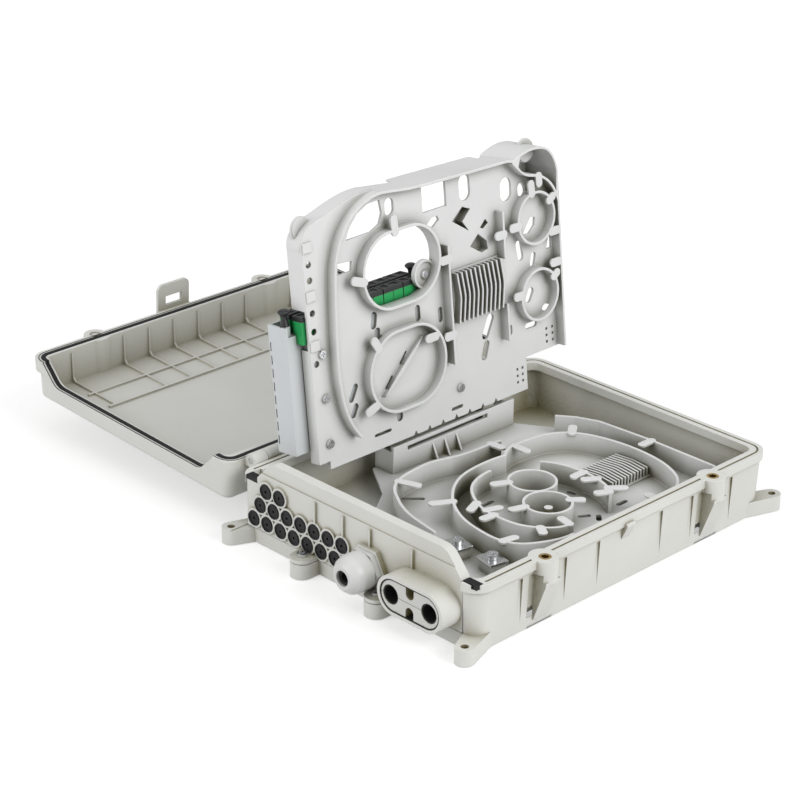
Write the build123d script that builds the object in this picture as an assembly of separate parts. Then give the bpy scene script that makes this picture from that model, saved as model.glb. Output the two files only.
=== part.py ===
from build123d import *
import math
import os

os.makedirs("parts", exist_ok=True)

# All sizes are millimetres. The box lies on its back: +Z is up, the lid hinges
# at -X, the cable ports are at -Y. The origin is the middle of the back face.

# base housing
BASE_W = 220.0            # width over the foot of the side walls
BASE_L = 290.0            # length over the foot of the end walls
BASE_H = 49.5             # height of the sealing rim
BASE_R = 9.0              # corner radius of the housing
DRAFT = 2.5               # draft of the side walls, degrees
WALL = 2.6
FLOOR_Z = 11.0            # inside floor level
FLOOR_T = 2.5
RIM_X = 114.0             # half width over the rim
RIM_Y = 149.0             # half length over the rim
RIM_T = 6.0               # height of the rim band
RIM_IN = 9.0              # how far the rim reaches inwards
RIM_GROOVE = 1.6          # groove between the two lips of the rim
EAR_X = 112.0             # wall fixing holes
EAR_Y = 156.5
EAR_R = 6.6
EAR_HOLE_R = 2.75
EAR_T = 11.5
BOSS_X = 113.0            # lid screw bosses
BOSS_Y = 85.0
BOSS_R = 9.0
BOSS_DROP = 16.5          # height of the round part of a boss
GUSSET_FOOT = 5.0
INSERT_R = 4.2
INSERT_BORE_R = 2.6
INSERT_L = 10.0
FLUTE_Y = (-106.0, -64.0, -31.5, 32.5, 65.0, 107.5)
FLUTE_W = 4.2
FLUTE_D = 4.2
ARCH_W = 24.0
ARCH_H = 6.0
FIT = 0.3                 # gap between pieces that only meet
SEAT = 0.2

# port plate
PLATE_X0 = -106.5         # ends of the plate
PLATE_X1 = 99.0
PLATE_Y = -146.0          # front face of the plate
PLATE_T = 3.0
PLATE_BAND = 8.0          # depth of the plate's edge band
PLATE_FOOT_Z = 11.7
PLATE_TOP_Z = 65.5
PLATE_STEP_Z = 55.6
SHOULDER_TOP_X = 83.0      # corners of the raised middle, before rounding
SHOULDER_FOOT_X = 96.0
SHOULDER_R = 12.0
SHOULDER_FOOT_R = 5.0
SEAL_T = 0.9
PAD_T = 3.0               # depth of the sealing pads at the plate ends
PAD_L = 12.0
PAD_Y = (-146.0, -140.0)
PORT_PITCH = 13.5         # drop ports, nested rows
PORT_ROW = 12.15
PORT_ROWS = ((7, -98.0), (7, -91.4), (2, -85.6))
PORT_ROW_Z = 20.0
PORT_R = 5.6
GROMMET_LIP_R = 5.35
GROMMET_BORE_R = 1.0
GROMMET_RECESS = 0.6
SCALLOP_R = 7.2
SCALLOP_T = 1.6
PLATE_RIB_X = ((-37.0, 38.0), (-9.8, 38.0), (15.8, 40.0), (55.0, 38.0))
PLATE_RIB_W = 1.3
PLATE_RIB_T = 1.8
GLAND_X = 16.0
GLAND_Z = 27.2
GLAND_HEX = 25.5          # across the flats of the boss and the gland body
GLAND_BOSS_T = 4.0
GLAND_BORE_R = 8.0
GLAND_NUT_R = 13.6
GLAND_OUT = 26.0          # how far the gland stands out of the plate
FEEDER_X = 69.0
FEEDER_Z = 26.6
FEEDER_R = 14.2
FEEDER_SPAN = 30.0        # between the centres of the rounded ends
FEEDER_OUT = 17.5
FEEDER_WALL = 2.4
FEEDER_BORE_R = 6.9
FEEDER_SEAL_T = 0.9        # rubber ring round the insert
SLEEVE_T = 1.0            # rubber sleeve in each feeder bore
FEEDER_BORE_SPAN = 34.5
FEEDER_SLOT_R = 3.6
SPLIT_GAP = 0.35
PLATE_EAR_X = (-43.0, 29.5)
PLATE_EAR_Y = (-153.4, -154.0)
PLATE_EAR_R = 8.2
PLATE_EAR_T = 2.5
SCREW_R = 1.5

# lid
HINGE_X = -120.0
HINGE_Z = 50.0
LID_OPEN = 177.5          # opening angle in the photograph
LID_IN_X0 = -104.0        # inside of the hinge-side wall
LID_IN_X1 = 103.4
LID_WALL = 2.6
LID_OUT_X0 = -113.8
LID_H = 30.0
LID_Z0 = BASE_H + 0.6
LID_Y = 147.0
LID_FLANGE_H = 9.5
LID_DRAFT = 3.0
GASKET_W = 3.6
GASKET_D = 2.2
LID_RIB_Y = (-115.0, -90.3, -65.6, -40.9, -16.2, 8.5, 33.2, 57.9, 82.6, 107.3)
LID_RIB_T = 1.5
LID_LONG_RIB_X = (75.5, 50.4)
LID_SCREW_R = 2.4
TAB_Y = -3.5
TAB_W = 31.0
TAB_Z0 = 30.5
TAB_T = 2.6
TAB_GAP = 4.2             # tab stands this far off the rim
TAB_WINDOW = (16.0, 7.4)
CATCH_Y = (-8.0, 0.3)     # wedge that the tab's window drops over
CATCH_Z = (33.0, 46.0)
CATCH_OUT = 2.5
KNUCKLE_R = 5.2
HINGE_PIN_R = 2.0
KNUCKLE_FIT = 0.08
KNUCKLES = ((-131.0, -119.4, "lid"), (-119.0, -107.4, "base"), (-107.0, -90.0, "lid"))

# swing panel (u along Y, v up the panel, w towards the viewer)
PANEL_X = -76.0
PANEL_Z = 47.5
PANEL_LEAN = 6.5
PANEL_T = 2.2
PANEL_U0 = -106.0
PANEL_U1 = 139.0
PANEL_V1 = 181.0
PANEL_AXIS_V = 6.7        # hinge axis, behind the lower edge of the plate
PANEL_AXIS_W = -5.4
PANEL_EYE_R = 2.8
PANEL_GUIDE_H = 8.0
PANEL_GUIDE_T = 1.8
PANEL_FLANGE_D = 15.0     # depth of the flange round the top and left edges
POCKET_D = 25.0           # depth of the corner pocket and of the broad top flange
POCKET_WALL = 1.8
CASSETTE_U = (-118.0, 40.0)
CASSETTE_V = (14.0, 106.0)
CASSETTE_DECK = 99.0      # height of the deck that holds the adapters
CASSETTE_D = 25.5
CASSETTE_SET = 9.5        # the part beyond the panel's left edge stands back this far
CASSETTE_T = 1.8
ADAPTER_PITCH = 19.2
ADAPTER_COUNT = 6
ADAPTER_W = 18.4
ADAPTER_D = 9.4
ADAPTER_H = 10.0          # how far the adapters stand above the deck
CAP_H = 3.6
ADAPTER_ROWS = (-7.5, -20.0)
PANEL_PIN_R = 1.6
PLUNGER_R = 2.2
PLUNGER_HEAD_R = 4.2
COMB_RIDGES = 12
COMB_PITCH = 4.45
COMB_H = 7.0
RIDGE_T = 1.4

# storage tray
TRAY_Z = 23.5             # top of the tray deck
TRAY_T = 2.2
TRAY_TOP = 39.0           # top of the guide walls
GUIDE_T = 2.0
SPOOL_R = 17.6
SPOOL_A = (18.5, 6.0)
SPOOL_B = (48.5, -11.0)
TRAY_RIDGE_PITCH = 3.35
CARRIER_X = PANEL_X
CARRIER_T = 2.4


def put(name, *solids):
    """Write one node; several solids make a group of separate solids."""
    flat = []
    for s in solids:
        flat.extend(s.solids())
    shape = flat[0] if len(flat) == 1 else Compound(children=flat)
    export_step(shape, "parts/" + name + ".step")
    print(name, len(flat), round(sum(s.volume for s in flat), 1))


def box(x0, x1, y0, y1, z0, z1):
    """Box between two corners."""
    return Pos((x0 + x1) / 2, (y0 + y1) / 2, (z0 + z1) / 2) * Box(abs(x1 - x0), abs(y1 - y0), abs(z1 - z0))


def cyl(x, y, z0, z1, r):
    """Upright cylinder."""
    return Pos(x, y, (z0 + z1) / 2) * Cylinder(r, abs(z1 - z0))


def cyl_y(x, z, y0, y1, r):
    """Cylinder along Y."""
    return Pos(x, (y0 + y1) / 2, z) * Rot(90, 0, 0) * Cylinder(r, abs(y1 - y0))


def wall(points, thick, z0, z1, radius=0.0):
    """Upright wall of even thickness along a path."""
    if radius > 0 and len(points) > 2:
        line = FilletPolyline(*points, radius=radius)
    else:
        line = Polyline(*points)
    return Pos(0, 0, z0) * extrude(trace(line, thick), z1 - z0)


def curve_wall(points, thick, z0, z1):
    """Upright wall along a smooth curve through the points."""
    return Pos(0, 0, z0) * extrude(trace(Spline(*points), thick), z1 - z0)


def ring(x, y, r, thick, z0, z1):
    """Upright round wall."""
    return cyl(x, y, z0, z1, r) - cyl(x, y, z0 - 1, z1 + 1, r - thick)


def tongue(x, y, angle, length, width, z0, z1):
    """Flat retaining tongue with a round end, rooted at its start point."""
    shape = Pos(length / 2, 0) * SlotOverall(length + width, width)
    return Pos(x, y, z0) * Rot(0, 0, angle) * extrude(shape, z1 - z0)


def shifted(points, d):
    """Points moved sideways by d, to the left of the way they run."""
    moved = []
    for i, (x, y) in enumerate(points):
        ax, ay = points[max(i - 1, 0)]
        bx, by = points[min(i + 1, len(points) - 1)]
        run = math.hypot(bx - ax, by - ay)
        moved.append((x - (by - ay) / run * d, y + (bx - ax) / run * d))
    return moved


def profile_xz(points, y0, y1):
    """Solid of an XZ outline run along Y."""
    face = make_face(Polyline(*[(p[0], p[1]) for p in points], close=True))
    return Pos(0, y0, 0) * Rot(90, 0, 0) * extrude(face, -(y1 - y0))


def profile_face(points, corners=()):
    """Face through the points, with the named corners rounded."""
    face = make_face(Polyline(*points, close=True))
    for (corner, r) in corners:
        vertex = face.vertices().sort_by_distance((corner[0], corner[1], 0))[0]
        face = fillet(vertex, r)
    return face


def run_y(face, y0, y1):
    """Solid of an XZ face run along Y."""
    return Pos(0, y0, 0) * Rot(90, 0, 0) * extrude(face, -(y1 - y0))


def tongue_between(root, tip, width, z0, z1):
    """Flat retaining tongue from its root to the middle of its round end."""
    dx, dy = tip[0] - root[0], tip[1] - root[1]
    return tongue(root[0], root[1], math.degrees(math.atan2(dy, dx)), math.hypot(dx, dy), width, z0, z1)


# port plate
def shoulder_outline(inset, foot_z):
    """Outline of the port plate in XZ, drawn in by inset, and its rounded corners."""
    left = PLATE_X0 + inset
    right = PLATE_X1 - inset
    top = PLATE_TOP_Z - inset
    foot_x = SHOULDER_FOOT_X - inset * 0.55
    top_x = SHOULDER_TOP_X - inset * 0.55
    pad_z = BASE_H - PAD_T - inset
    step_z = BASE_H + 1.5
    pts = [
        (left, foot_z),
        (left, pad_z),
        (-foot_x, pad_z),
        (-foot_x, step_z),
        (-top_x, top),
        (top_x, top),
        (foot_x, step_z),
        (right, pad_z),
        (right, foot_z),
    ]
    corners = [((-top_x, top), SHOULDER_R - inset), ((top_x, top), SHOULDER_R - inset)]
    return pts, corners


def stadium_y(x, z, r, span, y0, y1):
    """Rounded oval run along Y."""
    shape = SlotOverall(span + 2 * r, 2 * r)
    return Pos(x, y0, z) * Rot(90, 0, 0) * extrude(shape, -(y1 - y0))


def hex_y(x, z, flats, y0, y1):
    """Hexagonal prism along Y with two corners level."""
    shape = RegularPolygon(flats / math.sqrt(3), 6)
    return Pos(x, y0, z) * Rot(90, 0, 0) * extrude(shape, -(y1 - y0))


def port_centres():
    spots = []
    for row, (count, x0) in enumerate(PORT_ROWS):
        for i in range(count):
            spots.append((x0 + i * PORT_PITCH, PORT_ROW_Z + row * PORT_ROW))
    return spots


plate_back = PLATE_Y + PLATE_T
plate_inner = PLATE_Y + PLATE_BAND
band = run_y(profile_face(*shoulder_outline(0, PLATE_FOOT_Z)), PLATE_Y, plate_inner)
hollow = run_y(profile_face(*shoulder_outline(3.0, PLATE_FOOT_Z + 3.0)), plate_back, plate_inner + 1)
port_plate = band - hollow
# the upper band steps back a little above the scribed line
step_back = box(-130, 130, PLATE_Y - 1, PLATE_Y + 0.8, PLATE_STEP_Z, PLATE_TOP_Z + 5)
port_plate -= step_back
# raised field round the drop ports
field = None
for (px, pz) in port_centres():
    disc = cyl_y(px, pz, PLATE_Y - SCALLOP_T, PLATE_Y + 0.5, SCALLOP_R)
    field = disc if field is None else field + disc
field = field & box(PLATE_X0 + 1, PLATE_X1, PLATE_Y - 10, PLATE_Y + 10, PLATE_FOOT_Z, PLATE_STEP_Z)
port_plate += field
boss_hex = hex_y(GLAND_X, GLAND_Z, GLAND_HEX + 3.0, PLATE_Y - GLAND_BOSS_T, PLATE_Y + 0.5)
port_plate += boss_hex
feeder_y = PLATE_Y - FEEDER_OUT
feeder_tube = stadium_y(FEEDER_X, FEEDER_Z, FEEDER_R, FEEDER_SPAN, feeder_y, PLATE_Y + 0.5)
port_plate += feeder_tube
for (rx, rz) in PLATE_RIB_X:
    port_plate += box(rx - PLATE_RIB_W / 2, rx + PLATE_RIB_W / 2, PLATE_Y - PLATE_RIB_T, PLATE_Y + 0.5, rz, 54.2)
for (ex, ey) in zip(PLATE_EAR_X, PLATE_EAR_Y):
    ear = cyl(ex, ey, PLATE_FOOT_Z, PLATE_FOOT_Z + PLATE_EAR_T, PLATE_EAR_R)
    ear += box(ex - PLATE_EAR_R, ex + PLATE_EAR_R, ey, PLATE_Y + 1, PLATE_FOOT_Z, PLATE_FOOT_Z + PLATE_EAR_T)
    port_plate += ear
for (px, pz) in port_centres():
    port_plate -= cyl_y(px, pz, PLATE_Y - 20, plate_inner + 5, PORT_R)
port_plate -= cyl_y(GLAND_X, GLAND_Z, PLATE_Y - 20, plate_inner + 5, GLAND_BORE_R + 0.25)
port_plate -= stadium_y(FEEDER_X, FEEDER_Z, FEEDER_R - FEEDER_WALL, FEEDER_SPAN, feeder_y - 1, plate_inner + 5)
for (ex, ey) in zip(PLATE_EAR_X, PLATE_EAR_Y):
    port_plate -= cyl(ex, ey, PLATE_FOOT_Z - 1, PLATE_FOOT_Z + PLATE_EAR_T + 1, SCREW_R + 0.3)
port_plate -= stadium_y(FEEDER_X, FEEDER_Z, FEEDER_R - FEEDER_WALL, FEEDER_SPAN, feeder_y - 1, plate_inner + 5)
put("port_plate", port_plate)

# rubber grommets, one per drop port
grommets = []
for (px, pz) in port_centres():
    face_y = PLATE_Y - SCALLOP_T
    body = cyl_y(px, pz, face_y - 0.9, plate_back + 2.5, GROMMET_LIP_R)
    body -= cyl_y(px, pz, face_y - 2, face_y - 0.9 + GROMMET_RECESS, GROMMET_LIP_R - 1.0)
    body -= cyl_y(px, pz, face_y - 3, face_y + 1.2, GROMMET_BORE_R)
    grommets.append(body)
put("drop_grommets", *grommets)

# feeder insert in two halves
ring_r = FEEDER_R - FEEDER_WALL - 0.05
ins_r = ring_r - FEEDER_SEAL_T - 0.05
ring_y0, ring_y1 = feeder_y + 0.3, plate_inner + 1
insert = stadium_y(FEEDER_X, FEEDER_Z, ins_r, FEEDER_SPAN, feeder_y + 0.6, plate_inner + 2)
for s in (-1, 1):
    insert -= cyl_y(FEEDER_X + s * FEEDER_BORE_SPAN / 2, FEEDER_Z, feeder_y - 5, plate_inner + 5, FEEDER_BORE_R)
    slot = cyl_y(FEEDER_X, FEEDER_Z + s * 6.6, feeder_y - 1, feeder_y + 8, FEEDER_SLOT_R)
    slot += box(FEEDER_X - FEEDER_SLOT_R, FEEDER_X + FEEDER_SLOT_R, feeder_y - 1, feeder_y + 8,
                FEEDER_Z + s * 6.6, FEEDER_Z + s * 14)
    insert -= slot
insert -= box(-200, 200, -200, -100, FEEDER_Z - SPLIT_GAP / 2, FEEDER_Z + SPLIT_GAP / 2)
put("feeder_insert_upper", insert & box(0, 140, -200, -100, FEEDER_Z, FEEDER_Z + 40))
put("feeder_insert_lower", insert & box(0, 140, -200, -100, FEEDER_Z - 40, FEEDER_Z))
feeder_ring = stadium_y(FEEDER_X, FEEDER_Z, ring_r, FEEDER_SPAN, ring_y0, ring_y1)
feeder_ring -= stadium_y(FEEDER_X, FEEDER_Z, ring_r - FEEDER_SEAL_T, FEEDER_SPAN, ring_y0 - 1, ring_y1 + 1)
put("feeder_seal", feeder_ring)
sleeves = []
for s in (-1, 1):
    sx = FEEDER_X + s * FEEDER_BORE_SPAN / 2
    sleeve = cyl_y(sx, FEEDER_Z, feeder_y + 1.2, plate_inner + 1.4, FEEDER_BORE_R - 0.04)
    sleeve -= cyl_y(sx, FEEDER_Z, feeder_y - 1, plate_inner + 3, FEEDER_BORE_R - SLEEVE_T)
    sleeves.append(sleeve)
put("feeder_sleeves", *sleeves)

# cable gland: threaded body, lock nut inside, domed nut and seal outside
g_face = PLATE_Y - GLAND_BOSS_T
gland = hex_y(GLAND_X, GLAND_Z, GLAND_HEX, g_face - 4.5, g_face)
gland += cyl_y(GLAND_X, GLAND_Z, g_face - 0.5, plate_back + 9, GLAND_BORE_R)
gland += cyl_y(GLAND_X, GLAND_Z, g_face - 13, g_face - 4, GLAND_BORE_R + 1.2)
gland -= cyl_y(GLAND_X, GLAND_Z, g_face - 20, plate_back + 20, GLAND_BORE_R - 2.2)
put("gland_body", gland)
locknut = hex_y(GLAND_X, GLAND_Z, 21.0, plate_back + 0.1, plate_back + 4.6)
locknut -= cyl_y(GLAND_X, GLAND_Z, plate_back - 1, plate_back + 6, GLAND_BORE_R + 0.06)
put("gland_locknut", locknut)
nut_y1 = g_face - 4.9
nut_y0 = PLATE_Y - GLAND_OUT
nut_l = nut_y1 - nut_y0
dome_profile = Polyline((0, 0), (GLAND_NUT_R, 0), (GLAND_NUT_R, 9.0), (GLAND_NUT_R - 1.0, 12.5),
                        (GLAND_NUT_R - 3.4, 15.5), (GLAND_NUT_R - 5.6, nut_l), (0, nut_l), close=True)
dome = revolve(Plane.XZ * make_face(dome_profile), Axis.Z)
facets = extrude(RegularPolygon(GLAND_NUT_R * 1.03, 14), 40)
dome = dome & facets
dome -= Pos(0, 0, -1) * extrude(Circle(GLAND_BORE_R + 1.4), 9.5)
dome -= Pos(0, 0, -1) * extrude(Circle(5.6), 40)
dome = Pos(GLAND_X, nut_y1, GLAND_Z) * Rot(90, 0, 0) * dome
put("gland_dome_nut", dome)
gseal = cyl_y(GLAND_X, GLAND_Z, nut_y0 + 2.4, nut_y0 + 8.0, 5.5) - cyl_y(GLAND_X, GLAND_Z, nut_y0, nut_y0 + 12, 3.4)
put("gland_seal", gseal)

# base shell
def drafted(w, l, r, z0, z1, taper):
    return Pos(0, 0, z0) * extrude(RectangleRounded(w, l, r), z1 - z0, taper=taper)


spread = 2 * math.tan(math.radians(DRAFT))
outer = drafted(BASE_W, BASE_L, BASE_R, 0, BASE_H, -DRAFT)
shell = outer + drafted(2 * RIM_X, 2 * RIM_Y, BASE_R + 5, BASE_H - RIM_T, BASE_H, 0)
for sy in (-1, 1):
    shell += cyl(BOSS_X, sy * BOSS_Y, BASE_H - BOSS_DROP, BASE_H, BOSS_R)
    gusset = make_face(Polyline((BASE_W / 2 - 4, GUSSET_FOOT), (BASE_W / 2 + 1, GUSSET_FOOT),
                                (BOSS_X + BOSS_R - 1, BASE_H - BOSS_DROP), (BOSS_X + BOSS_R - 1, BASE_H - BOSS_DROP + 2),
                                (BASE_W / 2 - 4, BASE_H - BOSS_DROP + 2), close=True))
    shell += Pos(0, sy * BOSS_Y + 7, 0) * Rot(90, 0, 0) * extrude(gusset, 14)
for sx in (-1, 1):
    for sy in (-1, 1):
        tip = (sx * EAR_X, sy * EAR_Y)
        ear = make_hull(Sketch(children=[Pos(*tip) * Circle(EAR_R), Pos(sx * 102, sy * 143) * Circle(3),
                                         Pos(sx * 106, sy * 132) * Circle(4.5)]).edges())
        shell += extrude(ear, EAR_T)
for (ex, ey) in zip(PLATE_EAR_X, PLATE_EAR_Y):
    top = PLATE_FOOT_Z - SEAL_T
    shell += cyl(ex, ey, 0, top, PLATE_EAR_R)
    shell += box(ex - PLATE_EAR_R, ex + PLATE_EAR_R, ey, -BASE_L / 2 + 2, 0, top)
# inside
cavity_w = BASE_W - 2 * WALL + spread * FLOOR_Z
cavity_l = BASE_L - 2 * WALL + spread * FLOOR_Z
shell -= drafted(cavity_w, cavity_l, BASE_R - WALL, FLOOR_Z, BASE_H + 1, -DRAFT)
lip = drafted(2 * RIM_X - 1, 2 * RIM_Y - 1, BASE_R + 4.5, BASE_H - RIM_T, BASE_H, 0)
lip -= drafted(2 * (RIM_X - RIM_IN), 2 * (RIM_Y - RIM_IN), BASE_R - 2, BASE_H - RIM_T - 1, BASE_H + 1, 0)
shell += lip
groove = drafted(2 * RIM_X - 6.4, 2 * RIM_Y - 6.4, BASE_R + 2, BASE_H - 1.2, BASE_H + 1, 0)
groove -= drafted(2 * RIM_X - 6.4 - 2 * RIM_GROOVE, 2 * RIM_Y - 6.4 - 2 * RIM_GROOVE, BASE_R, BASE_H - 2, BASE_H + 2, 0)
shell -= groove & box(-200, 200, -RIM_Y + 12, 200, 0, 100)
# boss pillars inside the wall, with the bores for the brass inserts
for sy in (-1, 1):
    shell += cyl(BOSS_X - 2, sy * BOSS_Y, BASE_H - 24, BASE_H - 0.01, 9.6) & box(90, BOSS_X, -200, 200, 0, 100)
    shell -= cyl(BOSS_X, sy * BOSS_Y, BASE_H - INSERT_L, BASE_H + 1, INSERT_R)
    shell -= cyl(BOSS_X, sy * BOSS_Y, BASE_H - INSERT_L - 4, BASE_H, INSERT_BORE_R)
    pocket_y = sy * BOSS_Y - 7
    face_lo = BASE_W / 2 + 8 * spread / 2 - 1.2
    face_hi = BASE_W / 2 + 40 * spread / 2 - 1.2
    shell -= profile_xz([(face_lo, 8), (125, 8), (125, 40), (face_hi, 40)], pocket_y - 6, pocket_y)
    arch = Pos(BASE_W / 2 - 1, sy * BOSS_Y, 0) * Rot(90, 0, 90) * extrude(
        make_face(Polyline((-ARCH_W / 2 - 3, -1), (-ARCH_W / 2 - 3, 0), (-ARCH_W / 2, ARCH_H), (ARCH_W / 2 - 8, ARCH_H),
                           (ARCH_W / 2, 1.5), (ARCH_W / 2 + 3, 0), (ARCH_W / 2 + 3, -1), close=True)), 12, both=True)
    shell -= arch
# wedge flutes in both side walls
for y in FLUTE_Y:
    for sx in (-1, 1):
        foot = BASE_W / 2 + 0.3
        head = BASE_W / 2 + 1.9
        flute = make_face(Polyline((foot, 3.6), (head - FLUTE_D + 2.4, 40.3), (head + 6, 40.3), (head + 6, 3.6), close=True))
        cut = Pos(0, y + FLUTE_W / 2, 0) * Rot(90, 0, 0) * extrude(flute, FLUTE_W)
        shell -= cut if sx > 0 else mirror(cut, Plane.YZ)
# hollow back with stiffening ribs
back = box(-BASE_W / 2 + 4, BASE_W / 2 - 4, -BASE_L / 2 + 4, BASE_L / 2 - 4, -1, FLOOR_Z - FLOOR_T)
for i in range(-2, 3):
    back -= box(-200, 200, i * 48 - 0.9, i * 48 + 0.9, -2, 20)
for i in (-1, 0, 1):
    back -= box(i * 52 - 0.9, i * 52 + 0.9, -200, 200, -2, 20)
shell -= back
# opening for the port plate
open_x0 = PLATE_X0 - SEAL_T - 0.1
open_x1 = PLATE_X1 + SEAL_T + 0.1
shell -= box(open_x0, open_x1, -200, -BASE_L / 2 + 12, PLATE_FOOT_Z - SEAL_T, 100)
shell -= box(open_x1 - 1, PLATE_X1 + PAD_L + 0.2, -147.0, PAD_Y[1] + 0.3, BASE_H - PAD_T, 100)
for sx in (-1, 1):
    for sy in (-1, 1):
        shell -= cyl(sx * EAR_X, sy * EAR_Y, -1, 60, EAR_HOLE_R)
for (ex, ey) in zip(PLATE_EAR_X, PLATE_EAR_Y):
    shell -= cyl(ex, ey, 2.5, 30, SCREW_R + 0.05)
# hinge knuckles and latch catch
for sy in (-1, 1):
    for (y0, y1, side) in KNUCKLES:
        if side == "base":
            a, b = sorted((sy * y0, sy * y1))
            shell += cyl_y(HINGE_X, HINGE_Z, a, b, KNUCKLE_R)
            shell += box(HINGE_X, -RIM_X + 1, a, b, HINGE_Z - KNUCKLE_R, BASE_H - 1)
            shell -= cyl_y(HINGE_X, HINGE_Z, a - 1, b + 1, HINGE_PIN_R + 0.02)
wedge_out = RIM_X + CATCH_OUT
wedge = [(BASE_W / 2, CATCH_Z[0]), (BASE_W / 2 + 1.4, CATCH_Z[0]), (wedge_out, CATCH_Z[1] - 2.2),
         (wedge_out, CATCH_Z[1] - 0.6), (wedge_out - 0.8, CATCH_Z[1]), (BASE_W / 2, CATCH_Z[1])]
shell += profile_xz(wedge, CATCH_Y[0], CATCH_Y[1])
# pillars under the tray
for (x, y) in ((-60, 100), (90, 100), (85, -100), (5, -100), (-70, -28)):
    shell += cyl(x, y, FLOOR_Z - 0.5, TRAY_Z - TRAY_T - 0.15, 4.0)
put("base_shell", shell)

inserts = []
for sy in (-1, 1):
    sleeve = cyl(BOSS_X, sy * BOSS_Y, BASE_H - INSERT_L, BASE_H + 0.15, INSERT_R - 0.03)
    sleeve -= cyl(BOSS_X, sy * BOSS_Y, BASE_H - INSERT_L - 1, BASE_H + 1, INSERT_BORE_R)
    inserts.append(sleeve)
put("boss_inserts", *inserts)

plate_screws = []
for (ex, ey) in zip(PLATE_EAR_X, PLATE_EAR_Y):
    z = PLATE_FOOT_Z + PLATE_EAR_T
    screw = cyl(ex, ey, z + 0.05, z + 2.2, 3.6) + cyl(ex, ey, 4.0, z + 1, SCREW_R)
    screw = screw - Pos(ex, ey, z + 2.2) * (Box(4.4, 0.9, 2.0) + Box(0.9, 4.4, 2.0))
    plate_screws.append(screw)
put("port_plate_screws", *plate_screws)

# seal under and beside the port plate, with its two end pads
sy0, sy1 = PLATE_Y + 1.2, plate_inner - 0.8
zs0, zs1 = PLATE_FOOT_Z - SEAL_T + 0.05, PLATE_FOOT_Z - 0.05
seal = box(PLATE_X0 - SEAL_T, PLATE_X1 + SEAL_T, sy0, sy1, zs0, zs1)
seal += box(PLATE_X0 - SEAL_T, PLATE_X0 - 0.05, sy0, sy1, zs0, BASE_H - 1)
seal += box(PLATE_X1 + 0.05, PLATE_X1 + SEAL_T, sy0, sy1, zs0, BASE_H - 1)
seal += box(PLATE_X0 - SEAL_T, -SHOULDER_FOOT_X - 0.1, PAD_Y[0], PAD_Y[1], BASE_H - PAD_T + 0.1, BASE_H + 0.05)
seal += box(PLATE_X1 + 0.05, PLATE_X1 + PAD_L, PAD_Y[0], PAD_Y[1], BASE_H - PAD_T + 0.1, BASE_H + 0.05)
put("port_plate_seal", seal)

# storage tray
deck_outline = Polyline((-93, -40), (-60, -62), (-46, -82), (-10, -98), (10, -112), (96, -112), (103, -90),
                        (103, -60), (103, 72), (99, 90), (99, 112), (92, 118.5), (-30, 118.5), (-50, 106),
                        (-76, 90), (-93, 76), close=True)
deck = Pos(0, 0, TRAY_Z - TRAY_T) * extrude(make_face(deck_outline), TRAY_T)
deck -= box(84, 120, -98, -78, 0, 60)
g0 = TRAY_Z - 0.5
OUTER_LEFT = [(27, -98), (10, -95), (-9, -90), (-26, -81), (-39, -71), (-46, -59), (-49.5, -42), (-49.5, -22),
              (-44, -2), (-42, 18), (-41, 37)]
MIDDLE_NEAR = [(91, -32), (90, -43), (84, -58), (76, -69), (62, -75), (45, -74.5), (27, -70.5), (11, -62.5),
               (-3, -51), (-14, -37), (-20, -24), (-23, -8), (-23.5, 8), (-22, 22)]
MIDDLE_FAR = [(-22, 22), (-27, 29), (-29, 48), (-26, 68), (-16, 83), (4, 93), (38, 97), (70, 91), (87, 80),
              (95.5, 66), (98, 50)]
INNER_NEAR = [(80, -21), (78.5, -32), (70, -42), (57, -49.5), (41, -51.5), (25, -50), (10, -43), (-3, -32),
              (-10, -18), (-12, -4)]
INNER_FAR = [(2, 32), (14, 39), (31, 42), (49, 40.5), (61, 36), (69, 30)]
OUTER_FAR = [(-43, 97), (-31, 106), (-14, 113), (30, 116), (92, 116), (98, 108), (98, -22)]
for path in (OUTER_LEFT, MIDDLE_NEAR, MIDDLE_FAR, INNER_NEAR, INNER_FAR):
    deck += curve_wall(path, GUIDE_T, g0, TRAY_TOP)
tray = deck + wall(OUTER_FAR, GUIDE_T, g0, TRAY_TOP, 6)
tray += box(88.5, 99, -34, -24, g0, TRAY_TOP - 4)
spools = cyl(*SPOOL_A, g0, TRAY_TOP, SPOOL_R) + cyl(*SPOOL_B, g0, TRAY_TOP, SPOOL_R)
spools -= cyl(*SPOOL_A, g0 + 0.5, TRAY_TOP + 1, SPOOL_R - 1.8)
spools -= cyl(*SPOOL_B, g0 + 0.5, TRAY_TOP + 1, SPOOL_R - 1.8) - cyl(*SPOOL_A, g0, TRAY_TOP, SPOOL_R)
tray += spools
tray += cyl(50, -12, g0, TRAY_TOP - 3, 3.0)
t0, t1 = TRAY_TOP - 1.6, TRAY_TOP
TRAY_TONGUES = (((3, -57), (-4, -69)), ((-44, -62), (-31, -57)), ((16, -47), (20, -57)), ((9, -8), (4, -17)),
                ((-42, 28), (-33, 29)), ((-28, 38), (-17, 38)), ((-15, 84), (-21, 92)), ((33, 116), (33, 106)),
                ((42, -27), (39, -36)), ((28, -50), (31, -41)), ((34, 42), (34, 32)), ((47, 41), (42, 34)),
                ((66, 32), (62, 25)), ((56, 3), (61, 9)), ((62, 35.5), (69, 44)), ((98, 48), (88, 48)),
                ((79.5, -24), (71, -22)), ((66, -74), (68, -65)), ((36, -51), (35, -60)), ((70, -42), (76, -46)))
for (root, tip) in TRAY_TONGUES:
    tray += tongue_between(root, tip, 6.4, t0, t1)
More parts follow.
